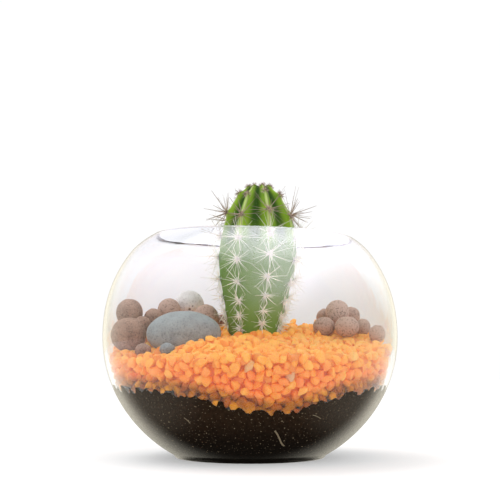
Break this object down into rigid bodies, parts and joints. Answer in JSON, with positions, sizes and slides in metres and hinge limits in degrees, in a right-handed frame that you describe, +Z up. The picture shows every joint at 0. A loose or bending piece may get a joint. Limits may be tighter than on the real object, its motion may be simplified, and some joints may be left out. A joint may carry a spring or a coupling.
{
  "type": "glass plant terrarium",
  "caption": "Open glass bubble bowl planted with a ribbed, spiny cactus in dark soil under orange gravel, with a grey river stone and heaps of clay pebbles.",
  "frame": {"origin": "centre of the bowl's foot, on the surface that it stands on", "axes": "+Z up through the bowl's opening; +X to the viewer's right and -Y towards the viewer of the picture's side"},
  "size_m": [0.18, 0.18, 0.1683],
  "materials": {
    "clear_glass": "polished",
    "potting_soil": "matte",
    "orange_gravel": "matte",
    "cactus_green": "matte",
    "grey_stone": "matte",
    "pale_stone": "matte",
    "fired_clay": "matte"
  },
  "bodies": {
    "root": {"glass_bowl": "clear_glass", "potting_soil": "potting_soil", "orange_gravel": "orange_gravel", "cactus": "cactus_green", "river_stone": "grey_stone", "grey_pebble": "grey_stone", "pale_pebble": "pale_stone", "clay_pebble_left_1": "fired_clay", "clay_pebble_left_2": "fired_clay", "clay_pebble_left_3": "fired_clay", "clay_pebble_left_4": "fired_clay", "clay_pebble_left_5": "fired_clay", "clay_pebble_left_6": "fired_clay", "clay_pebble_left_7": "fired_clay", "clay_pebble_left_8": "fired_clay", "clay_pebble_right_1": "fired_clay", "clay_pebble_right_2": "fired_clay", "clay_pebble_right_3": "fired_clay", "clay_pebble_right_4": "fired_clay", "clay_pebble_right_5": "fired_clay", "clay_pebble_right_6": "fired_clay", "clay_pebble_right_7": "fired_clay"}
  },
  "joints": []
}
